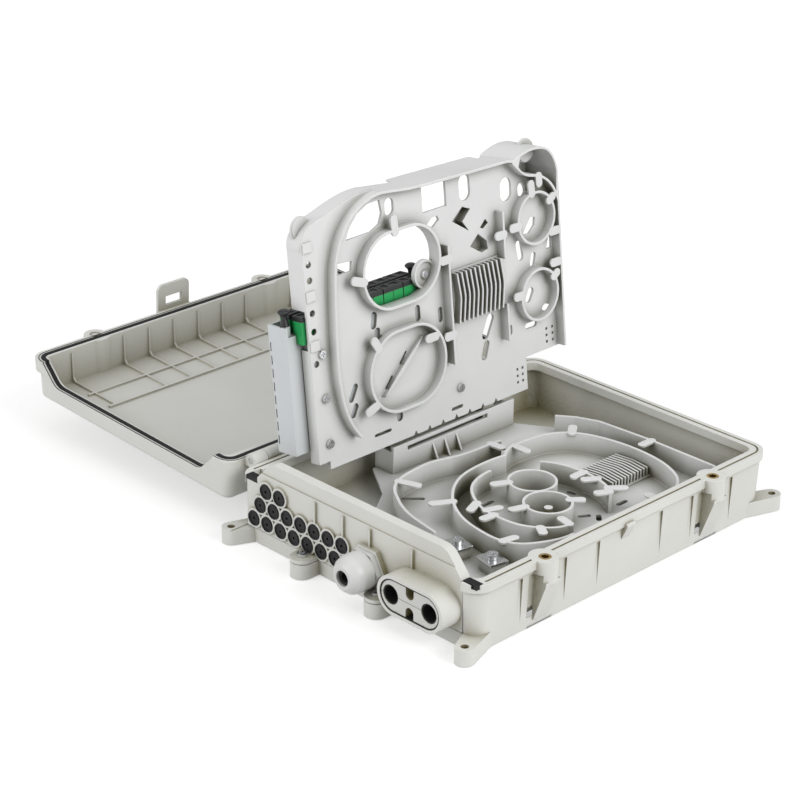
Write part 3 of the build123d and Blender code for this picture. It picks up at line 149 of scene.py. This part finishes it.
def map_range(tree, spot, source, target, start=None):
    """Map range node towards the target range, from the start range or else from 0 to 1."""
    made = node_of(tree, "ShaderNodeMapRange", spot)
    if start:
        made.inputs["From Min"].default_value, made.inputs["From Max"].default_value = start
    made.inputs["To Min"].default_value, made.inputs["To Max"].default_value = target
    tree.links.new(source, made.inputs["Value"])
    return made


def fresh(name):
    """Empty node material with its shader and the object's coordinates; only the material if it exists."""
    old = bpy.data.materials.get(name)
    if old:
        return old, None, None, None
    made = bpy.data.materials.new(name)
    made.use_nodes = True
    tree = made.node_tree
    tree.nodes.clear()
    out = node_of(tree, "ShaderNodeOutputMaterial", (900, 0))
    shader = node_of(tree, "ShaderNodeBsdfPrincipled", (600, 0))
    tree.links.new(shader.outputs["BSDF"], out.inputs["Surface"])
    coords = node_of(tree, "ShaderNodeTexCoord", (-1200, 0))
    return made, tree, shader, coords


def moulding(name, colour, deep, grain, rough=0.5, edge=0.35, corner=0.0006, reach=0.03, depth=1.0,
             hide=0.0, local=False):
    """Injection-moulded plastic: fine grain, slightly uneven colour, paler edges as a painted highlight,
    darker deep corners as painted shade.

    grain is the depth of the fine grain. edge and corner are the strength and radius of the painted highlight
    on edges.
    reach and depth are the distance and the strength of the painted shade colour in deep corners, which looks
    at the piece alone when local is set. hide is the depth of a coarser leather-like texture on the closed-in
    walls.
    """
    made, tree, shader, coords = fresh(name)
    if tree is None:
        return made
    link = tree.links.new
    cloud = node_of(tree, "ShaderNodeTexNoise", (-900, 300), Scale=CLOUD_SCALE, Detail=3.0)
    link(coords.outputs["Object"], cloud.inputs["Vector"])
    spread = map_range(tree, (-700, 300), cloud.outputs["Fac"], (0.965, 1.02), (0.3, 0.7))
    tone = node_of(tree, "ShaderNodeMix", (-450, 300), data_type="RGBA", blend_type="MULTIPLY")
    tone.inputs[MIX_FACTOR].default_value = 1.0
    tone.inputs[MIX_A].default_value = (*colour, 1)
    link(spread.outputs["Result"], tone.inputs[MIX_B])
    # painted shade: darker, warmer colour where the surface is closed in
    hollow = node_of(tree, "ShaderNodeAmbientOcclusion", (-700, 0), samples=8, only_local=local)
    hollow.inputs["Distance"].default_value = reach
    closed = map_range(tree, (-450, 0), hollow.outputs["AO"], (depth, 0.0), (0.25, 0.95))
    painted_shade = node_of(tree, "ShaderNodeMix", (-200, 200), data_type="RGBA", blend_type="MIX")
    link(closed.outputs["Result"], painted_shade.inputs[MIX_FACTOR])
    link(tone.outputs[MIX_COLOUR], painted_shade.inputs[MIX_A])
    painted_shade.inputs[MIX_B].default_value = (*deep, 1)
    # painted highlight: paler colour along edges that lie in the open
    softened = node_of(tree, "ShaderNodeBevel", (-900, -300), samples=6)
    softened.inputs["Radius"].default_value = corner
    geometry = node_of(tree, "ShaderNodeNewGeometry", (-900, -500))
    turn = node_of(tree, "ShaderNodeVectorMath", (-700, -400), operation="DOT_PRODUCT")
    link(softened.outputs["Normal"], turn.inputs[0])
    link(geometry.outputs["Normal"], turn.inputs[1])
    rim = map_range(tree, (-450, -400), turn.outputs["Value"], (0.0, edge), (0.995, 0.90))
    highlight_mask = node_of(tree, "ShaderNodeMath", (-250, -250), operation="MULTIPLY")
    link(rim.outputs["Result"], highlight_mask.inputs[0])
    link(hollow.outputs["AO"], highlight_mask.inputs[1])
    painted_highlight = node_of(tree, "ShaderNodeMix", (100, 200), data_type="RGBA", blend_type="MIX")
    link(highlight_mask.outputs["Value"], painted_highlight.inputs[MIX_FACTOR])
    link(painted_shade.outputs[MIX_COLOUR], painted_highlight.inputs[MIX_A])
    painted_highlight.inputs[MIX_B].default_value = EDGE_HIGHLIGHT
    link(painted_highlight.outputs[MIX_COLOUR], shader.inputs["Base Color"])
    # fine grain, and the leather-like texture over it
    fine = node_of(tree, "ShaderNodeTexNoise", (-450, -650), Scale=GRAIN_SCALE, Detail=2.0)
    link(coords.outputs["Object"], fine.inputs["Vector"])
    bump = node_of(tree, "ShaderNodeBump", (300, -400), Strength=0.5, Distance=grain)
    link(fine.outputs["Fac"], bump.inputs["Height"])
    link(softened.outputs["Normal"], bump.inputs["Normal"])
    last = bump
    if hide > 0:
        pebble = node_of(tree, "ShaderNodeTexVoronoi", (-450, -900), feature="SMOOTH_F1", Scale=LEATHER_SCALE)
        link(coords.outputs["Object"], pebble.inputs["Vector"])
        crease = node_of(tree, "ShaderNodeBump", (500, -500), Distance=hide)
        link(closed.outputs["Result"], crease.inputs["Strength"])
        link(pebble.outputs["Distance"], crease.inputs["Height"])
        link(bump.outputs["Normal"], crease.inputs["Normal"])
        last = crease
    link(last.outputs["Normal"], shader.inputs["Normal"])
    sheen = map_range(tree, (100, -100), cloud.outputs["Fac"], (rough - 0.06, rough + 0.08))
    link(sheen.outputs["Result"], shader.inputs["Roughness"])
    shader.inputs["Specular IOR Level"].default_value = 0.4
    return made


def speckled(tree, shader, noise, colour, second, corner, strength, depth):
    """Colour that wanders with the noise to second times itself, with a bump of that noise and soft edges."""
    link = tree.links.new
    tint = node_of(tree, "ShaderNodeMix", (-300, 200), data_type="RGBA", blend_type="MIX")
    tint.inputs[MIX_A].default_value = (*colour, 1)
    tint.inputs[MIX_B].default_value = (*(part * second for part in colour), 1)
    link(noise.outputs["Fac"], tint.inputs[MIX_FACTOR])
    link(tint.outputs[MIX_COLOUR], shader.inputs["Base Color"])
    softened = node_of(tree, "ShaderNodeBevel", (-500, -300), samples=4)
    softened.inputs["Radius"].default_value = corner
    bump = node_of(tree, "ShaderNodeBump", (0, -300), Strength=strength, Distance=depth)
    link(noise.outputs["Fac"], bump.inputs["Height"])
    link(softened.outputs["Normal"], bump.inputs["Normal"])
    link(bump.outputs["Normal"], shader.inputs["Normal"])


def soft_rubber(name, colour):
    """Matt rubber with a fine bloom."""
    made, tree, shader, coords = fresh(name)
    if tree is None:
        return made
    link = tree.links.new
    bloom = node_of(tree, "ShaderNodeTexNoise", (-800, 200), Scale=220.0, Detail=4.0)
    link(coords.outputs["Object"], bloom.inputs["Vector"])
    speckled(tree, shader, bloom, colour, 1.7, 0.0003, 0.4, 0.00005)
    shader.inputs["Roughness"].default_value = 0.62
    shader.inputs["Specular IOR Level"].default_value = 0.35
    return made


def bright_metal(name, colour, rough):
    """Plated metal with fine turning marks."""
    made, tree, shader, coords = fresh(name)
    if tree is None:
        return made
    link = tree.links.new
    marks = node_of(tree, "ShaderNodeTexNoise", (-800, 0), Scale=900.0, Detail=2.0)
    link(coords.outputs["Object"], marks.inputs["Vector"])
    speckled(tree, shader, marks, colour, 0.88, 0.0004, 0.12, 0.00002)
    vary = map_range(tree, (0, -100), marks.outputs["Fac"], (rough - 0.08, rough + 0.12))
    link(vary.outputs["Result"], shader.inputs["Roughness"])
    shader.inputs["Metallic"].default_value = 1.0
    return made


def dress(material, *nodes):
    """Gives CAD nodes their finish."""
    for node in nodes:
        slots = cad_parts[node].data.materials
        if not slots:
            slots.append(material)
        for i in range(len(slots)):
            slots[i] = material


class FDB_OT_housing(bpy.types.Operator):
    """Finish of the base, the port plate and the lid"""
    bl_idname = "fdb.housing"
    bl_label = "Housing"

    def execute(self, context):
        s = context.scene.fdb_finish
        shell = moulding("housing grain", s.housing, s.shadow, grain=s.grain, reach=0.045, hide=0.0008,
                         local=True)
        dress(shell, "base_shell", "port_plate")
        lid = moulding("lid grain", s.housing, s.shadow, grain=s.grain, reach=0.045, depth=0.72, hide=0.0005,
                       local=True)
        dress(lid, "lid_shell")
        screw = moulding("lid screw cap", s.housing, s.shadow, rough=0.4, grain=s.grain * 0.5)
        dress(screw, "lid_screws")
        return {"FINISHED"}


class FDB_OT_seals(bpy.types.Operator):
    """Rubber seals and grommets"""
    bl_idname = "fdb.seals"
    bl_label = "Seals"

    def execute(self, context):
        s = context.scene.fdb_finish
        rubber = soft_rubber("seal rubber", s.rubber)
        dress(rubber, "port_plate_seal", "lid_gasket", "drop_grommets", "gland_seal", "feeder_seal",
              "feeder_sleeves")
        return {"FINISHED"}


class FDB_OT_gland(bpy.types.Operator):
    """White nylon cable gland"""
    bl_idname = "fdb.gland"
    bl_label = "Cable gland"

    def execute(self, context):
        # second colour: painted shade in deep corners; the edges get a painted highlight
        nylon = moulding("gland nylon", shade(214, 214, 213), shade(118, 117, 112), rough=0.32, grain=0.00001,
                         reach=0.006)
        dress(nylon, "gland_body", "gland_dome_nut", "gland_locknut")
        return {"FINISHED"}


class FDB_OT_feeder(bpy.types.Operator):
    """Oval feeder insert"""
    bl_idname = "fdb.feeder"
    bl_label = "Feeder insert"

    def execute(self, context):
        s = context.scene.fdb_finish
        plug = moulding("feeder insert", shade(212, 212, 208), s.shadow, grain=s.grain, reach=0.012)
        dress(plug, "feeder_insert_upper", "feeder_insert_lower")
        return {"FINISHED"}


class FDB_OT_tray(bpy.types.Operator):
    """Storage tray with its comb and carrier"""
    bl_idname = "fdb.tray"
    bl_label = "Storage tray"

    def execute(self, context):
        s = context.scene.fdb_finish
        # second colour: painted shade in deep corners; edge: strength of the painted highlight on edges
        satin = moulding("tray satin", s.tray, shade(98, 95, 72), rough=0.42, grain=s.grain * 0.5,
                         reach=0.021, edge=1.0, corner=0.0009)
        dress(satin, "storage_tray", "tray_splice_comb", "panel_carrier", "clamp_blocks")
        return {"FINISHED"}


class FDB_OT_panel(bpy.types.Operator):
    """Swing panel and its comb"""
    bl_idname = "fdb.panel"
    bl_label = "Swing panel"

    def execute(self, context):
        s = context.scene.fdb_finish
        # second colour: painted shade in deep corners; edge: strength of the painted highlight on edges
        satin = moulding("panel satin", s.tray, shade(116, 115, 102), rough=0.42, grain=s.grain * 0.5,
                         reach=0.011, edge=1.0, corner=0.0009)
        dress(satin, "splice_panel", "panel_splice_comb")
        return {"FINISHED"}


class FDB_OT_cassette(bpy.types.Operator):
    """Adapter cassette, adapters, caps and plungers"""
    bl_idname = "fdb.cassette"
    bl_label = "Adapter cassette"

    def execute(self, context):
        s = context.scene.fdb_finish
        # each second colour is the painted shade in deep corners; edge sets the painted highlight on edges
        case = moulding("cassette satin", s.cassette, shade(140, 142, 140), rough=0.4, grain=s.grain * 0.5,
                        reach=0.01)
        dress(case, "adapter_cassette")
        green = moulding("adapter green", s.adapter, shade(8, 70, 36), rough=0.35, grain=0.00001, reach=0.004,
                         edge=0.1)
        dress(green, "fibre_adapters")
        black = moulding("black moulding", shade(40, 41, 42), shade(12, 12, 12), rough=0.4, grain=0.00002,
                         reach=0.004, edge=0.08)
        dress(black, "adapter_caps", "latch_plunger_near", "latch_plunger_far")
        return {"FINISHED"}


class FDB_OT_fasteners(bpy.types.Operator):
    """Screws, pins, clamps and inserts"""
    bl_idname = "fdb.fasteners"
    bl_label = "Fasteners"

    def execute(self, context):
        steel = bright_metal("zinc steel", shade(226, 227, 229), 0.2)
        dress(steel, "port_plate_screws", "clamp_plates", "clamp_screws", "lid_hinge_pins",
              "panel_hinge_pins", "panel_screws")
        dress(bright_metal("turned brass", shade(214, 186, 128), 0.28), "boss_inserts")
        return {"FINISHED"}


def rounded(corners, radii, steps=6):
    """Points of a flat path whose corners are rounded by their radii; the ends stay."""
    path = [Vector(corners[0])]
    for i in range(1, len(corners) - 1):
        here = Vector(corners[i])
        before = (Vector(corners[i - 1]) - here).normalized()
        after = (Vector(corners[i + 1]) - here).normalized()
        if radii[i] == 0:
            path.append(here)
            continue
        half = before.angle(after) / 2
        centre = here + (before + after).normalized() * (radii[i] / math.sin(half))
        first = here + before * (radii[i] / math.tan(half))
        last = here + after * (radii[i] / math.tan(half))
        for k in range(steps + 1):
            arm = (first - centre).lerp(last - centre, k / steps).normalized()
            path.append(centre + arm * radii[i])
    path.append(Vector(corners[-1]))
    return path


def closed_strip(name, path, sides, width, height):
    """Flat strip with a rectangular section along a closed path; sides says which way its width goes."""
    mesh = bpy.data.meshes.new(name)
    work = bmesh.new()
    rings = []
    count = len(path)
    for i, (point, side) in enumerate(zip(path, sides)):
        along = (path[(i + 1) % count] - path[i - 1]).normalized()
        lift = along.cross(side).normalized()
        rings.append([work.verts.new(point + side * (a * width / 2) + lift * (b * height / 2))
                      for a, b in ((-1, -1), (1, -1), (1, 1), (-1, 1))])
    for i in range(count):
        one, two = rings[i], rings[(i + 1) % count]
        for k in range(4):
            work.faces.new((one[k], one[(k + 1) % 4], two[(k + 1) % 4], two[k]))
    bmesh.ops.recalc_face_normals(work, faces=work.faces)
    work.to_mesh(mesh)
    work.free()
    thing = bpy.data.objects.new(name, mesh)
    bpy.context.scene.collection.objects.link(thing)
    return thing


def move_mesh(thing, matrix):
    """Moves a piece's mesh, so that the object stays at the origin."""
    work = bmesh.new()
    work.from_mesh(thing.data)
    bmesh.ops.transform(work, matrix=matrix, verts=work.verts)
    bmesh.ops.recalc_face_normals(work, faces=work.faces)
    work.to_mesh(thing.data)
    work.free()


class FDB_OT_lid_line(bpy.types.Operator):
    """Thin dark strip outside the lid's gasket: painted shade of a groove there"""
    bl_idname = "fdb.lid_line"
    bl_label = "Lid seal line"

    def execute(self, context):
        s = context.scene.fdb_finish
        half_x, half_y = GROOVE_SHADE_HALF
        foot_x, step_z = SHOULDER_FOOT
        over_x, over_z = SHOULDER_TOP
        # over the raised middle of the port plate, seen from the front
        front = rounded([(-foot_x, RIM_Z), (-foot_x, step_z), (-over_x, over_z), (over_x, over_z),
                         (foot_x, step_z), (foot_x, RIM_Z)], (0, 0, SHOULDER_BEND, SHOULDER_BEND, 0, 0))
        path = [Vector((point.x, -half_y, point.y)) for point in front]
        sides = [Vector((0, -1, 0))] * len(path)
        # the rest of the rim, seen from above
        right, left = GROOVE_SHADE_MIDDLE_X + half_x, GROOVE_SHADE_MIDDLE_X - half_x
        start_x = foot_x + LINE_GAP
        bend = GROOVE_SHADE_BEND
        around = rounded([(start_x, -half_y), (right, -half_y), (right, half_y), (left, half_y),
                          (left, -half_y), (-start_x, -half_y)], (0, bend, bend, bend, bend, 0))
        for i, point in enumerate(around):
            ahead = around[min(i + 1, len(around) - 1)] - around[max(i - 1, 0)]
            path.append(Vector((point.x, point.y, RIM_Z)))
            sides.append(Vector((ahead.y, -ahead.x, 0)).normalized())
        # modelled on the closed lid, then opened with it
        opened = (Matrix.Translation(LID_HINGE) @ Matrix.Rotation(-LID_OPEN, 4, "Y")
                  @ Matrix.Translation(-LID_HINGE))
        # a dark rubber strip that paints the shade in the groove outside the gasket
        line = closed_strip("lid_groove_shade", path, sides, *GROOVE_SHADE_SECTION)
        move_mesh(line, opened)
        line.data.materials.append(soft_rubber("seal rubber", s.rubber))
        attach(line, "lid")
        return {"FINISHED"}


class FDB_OT_panel_ears(bpy.types.Operator):
    """Rounded ears on the upper corners of the swing panel"""
    bl_idname = "fdb.panel_ears"
    bl_label = "Panel ears"

    def execute(self, context):
        along = Vector((0, 1, 0))
        up = Vector((-math.sin(PANEL_LEAN), 0, math.cos(PANEL_LEAN)))
        out = Vector((math.cos(PANEL_LEAN), 0, math.sin(PANEL_LEAN)))
        mesh = bpy.data.meshes.new("panel_ears")
        work = bmesh.new()
        for u, v, radius in EARS:
            seat = Matrix((along, up, out)).transposed().to_4x4()
            seat.translation = PANEL_FOOT + along * u + up * v + out * -EAR_SET_BACK
            made = bmesh.ops.create_cone(work, cap_ends=True, cap_tris=False, segments=EAR_SIDES,
                                         radius1=radius, radius2=radius, depth=EAR_T, matrix=seat)
            rims = {edge for vert in made["verts"] for edge in vert.link_edges
                    if len(edge.link_faces) == 2 and edge.calc_face_angle(0) > EAR_RIM_ANGLE}
            bmesh.ops.bevel(work, geom=list(rims), offset=EAR_EDGE, segments=2, affect="EDGES")
        work.to_mesh(mesh)
        work.free()
        ears = bpy.data.objects.new("panel_ears", mesh)
        context.scene.collection.objects.link(ears)
        ears.data.materials.append(bpy.data.materials["panel satin"])
        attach(ears, "panel")
        return {"FINISHED"}


def soft_box(name, place, target, width, power):
    """Square area lamp that looks at a point."""
    lamp = bpy.data.lights.new(name, "AREA")
    lamp.shape = "SQUARE"
    lamp.size = width
    lamp.energy = power
    thing = bpy.data.objects.new(name, lamp)
    bpy.context.scene.collection.objects.link(thing)
    thing.location = place
    aim = Vector(target) - Vector(place)
    thing.rotation_euler = aim.to_track_quat("-Z", "Y").to_euler()


class FDB_OT_stage(bpy.types.Operator):
    """White studio, soft lamps and the camera"""
    bl_idname = "fdb.stage"
    bl_label = "Studio"

    def execute(self, context):
        s = context.scene.fdb_stage
        # floor
        mesh = bpy.data.meshes.new("studio_floor")
        work = bmesh.new()
        bmesh.ops.create_grid(work, x_segments=1, y_segments=1, size=FLOOR_HALF)
        bmesh.ops.translate(work, verts=work.verts, vec=(0, 0, FLOOR_Z))
        work.to_mesh(mesh)
        work.free()
        floor = bpy.data.objects.new("studio_floor", mesh)
        context.scene.collection.objects.link(floor)
        paper = bpy.data.materials.new("studio paper")
        paper.use_nodes = True
        tree = paper.node_tree
        tree.nodes.clear()
        link = tree.links.new
        out = node_of(tree, "ShaderNodeOutputMaterial", (600, 0))
        matt = node_of(tree, "ShaderNodeBsdfDiffuse", (0, 0), Color=PAPER_GREY)
        glow = node_of(tree, "ShaderNodeEmission", (0, -200), Color=(1, 1, 1, 1))
        path = node_of(tree, "ShaderNodeLightPath", (-400, 0))
        seen = node_of(tree, "ShaderNodeMath", (-200, -200), operation="MAXIMUM")
        link(path.outputs["Is Camera Ray"], seen.inputs[0])
        link(path.outputs["Is Glossy Ray"], seen.inputs[1])
        # the paper glows more away from the box, so that it is white there and shadows show near the box
        spot = node_of(tree, "ShaderNodeTexCoord", (-900, -500))
        out_from_box = node_of(tree, "ShaderNodeVectorMath", (-700, -500), operation="LENGTH")
        link(spot.outputs["Object"], out_from_box.inputs[0])
        spread = map_range(tree, (-500, -500), out_from_box.outputs["Value"], GLOW_LEVELS, GLOW_REACH)
        lift = node_of(tree, "ShaderNodeMath", (-100, -350), operation="MULTIPLY")
        link(spread.outputs["Result"], lift.inputs[1])
        link(seen.outputs["Value"], lift.inputs[0])
        link(lift.outputs["Value"], glow.inputs["Strength"])
        both = node_of(tree, "ShaderNodeAddShader", (300, 0))
        link(matt.outputs["BSDF"], both.inputs[0])
        link(glow.outputs["Emission"], both.inputs[1])
        link(both.outputs["Shader"], out.inputs["Surface"])
        mesh.materials.append(paper)

        # room, which is plain white to the camera
        world = bpy.data.worlds.new("studio")
        context.scene.world = world
        world.use_nodes = True
        tree = world.node_tree
        tree.nodes.clear()
        link = tree.links.new
        out = node_of(tree, "ShaderNodeOutputWorld", (600, 0))
        room = node_of(tree, "ShaderNodeBackground", (300, 0), Color=(1, 1, 1, 1))
        path = node_of(tree, "ShaderNodeLightPath", (-300, 0))
        level = map_range(tree, (0, 0), path.outputs["Is Camera Ray"], (s.room, 1.0))
        link(level.outputs["Result"], room.inputs["Strength"])
        link(room.outputs["Background"], out.inputs["Surface"])

        soft_box("key", *KEY_LAMP, s.key)
        soft_box("top", *TOP_LAMP, s.top)
        soft_box("port", *PORT_LAMP, s.port)

        # camera: back points from the box to it, right and up lie along the picture's edges
        eye = bpy.data.cameras.new("camera")
        eye.sensor_fit = "HORIZONTAL"
        eye.sensor_width = SENSOR_MM
        eye.lens = FOCAL_PX / PICTURE_PX * SENSOR_MM
        eye.clip_start = CLIP_NEAR
        eye.clip_end = CLIP_FAR
        view = bpy.data.objects.new("camera", eye)
        context.scene.collection.objects.link(view)
        level_out = math.cos(CAMERA_RISE)
        back = Vector((math.sin(CAMERA_TURN) * level_out, -math.cos(CAMERA_TURN) * level_out,
                       math.sin(CAMERA_RISE)))
        right = Vector((math.cos(CAMERA_TURN), math.sin(CAMERA_TURN), 0))
        up = back.cross(right)
        tilted_right = right * math.cos(CAMERA_TILT) - up * math.sin(CAMERA_TILT)
        tilted_up = right * math.sin(CAMERA_TILT) + up * math.cos(CAMERA_TILT)
        pose = Matrix((tilted_right, tilted_up, back)).transposed().to_4x4()
        pose.translation = CAMERA_PLACE
        view.matrix_world = pose
        context.scene.camera = view
        context.scene.view_settings.view_transform = "Standard"
        return {"FINISHED"}


class FDB_PT_sidebar(bpy.types.Panel):
    """Lists the makers and their settings"""
    bl_idname = "FDB_PT_sidebar"
    bl_label = "Fibre Box"
    bl_space_type = "VIEW_3D"
    bl_region_type = "UI"
    bl_category = "Fibre Box"

    def draw(self, context):
        for group in (context.scene.fdb_finish, context.scene.fdb_stage):
            for name in group.bl_rna.properties.keys():
                if name not in ("rna_type", "name"):
                    self.layout.prop(group, name)
        for maker in MAKERS:
            self.layout.operator(maker.bl_idname)


MAKERS = (FDB_OT_housing, FDB_OT_seals, FDB_OT_gland, FDB_OT_feeder, FDB_OT_tray, FDB_OT_panel,
          FDB_OT_cassette, FDB_OT_fasteners, FDB_OT_lid_line, FDB_OT_panel_ears, FDB_OT_stage)
CLASSES = (FinishSettings, StageSettings, *MAKERS, FDB_PT_sidebar)


def register():
    for made in CLASSES:
        bpy.utils.register_class(made)
    bpy.types.Scene.fdb_finish = PointerProperty(type=FinishSettings)
    bpy.types.Scene.fdb_stage = PointerProperty(type=StageSettings)


def unregister():
    del bpy.types.Scene.fdb_stage
    del bpy.types.Scene.fdb_finish
    for made in reversed(CLASSES):
        bpy.utils.unregister_class(made)


def main():
    register()
    bpy.ops.fdb.stage()
    bpy.ops.fdb.housing()
    bpy.ops.fdb.seals()
    bpy.ops.fdb.gland()
    bpy.ops.fdb.feeder()
    bpy.ops.fdb.tray()
    bpy.ops.fdb.panel()
    bpy.ops.fdb.cassette()
    bpy.ops.fdb.fasteners()
    bpy.ops.fdb.lid_line()
    bpy.ops.fdb.panel_ears()


if __name__ == "__main__":
    main()
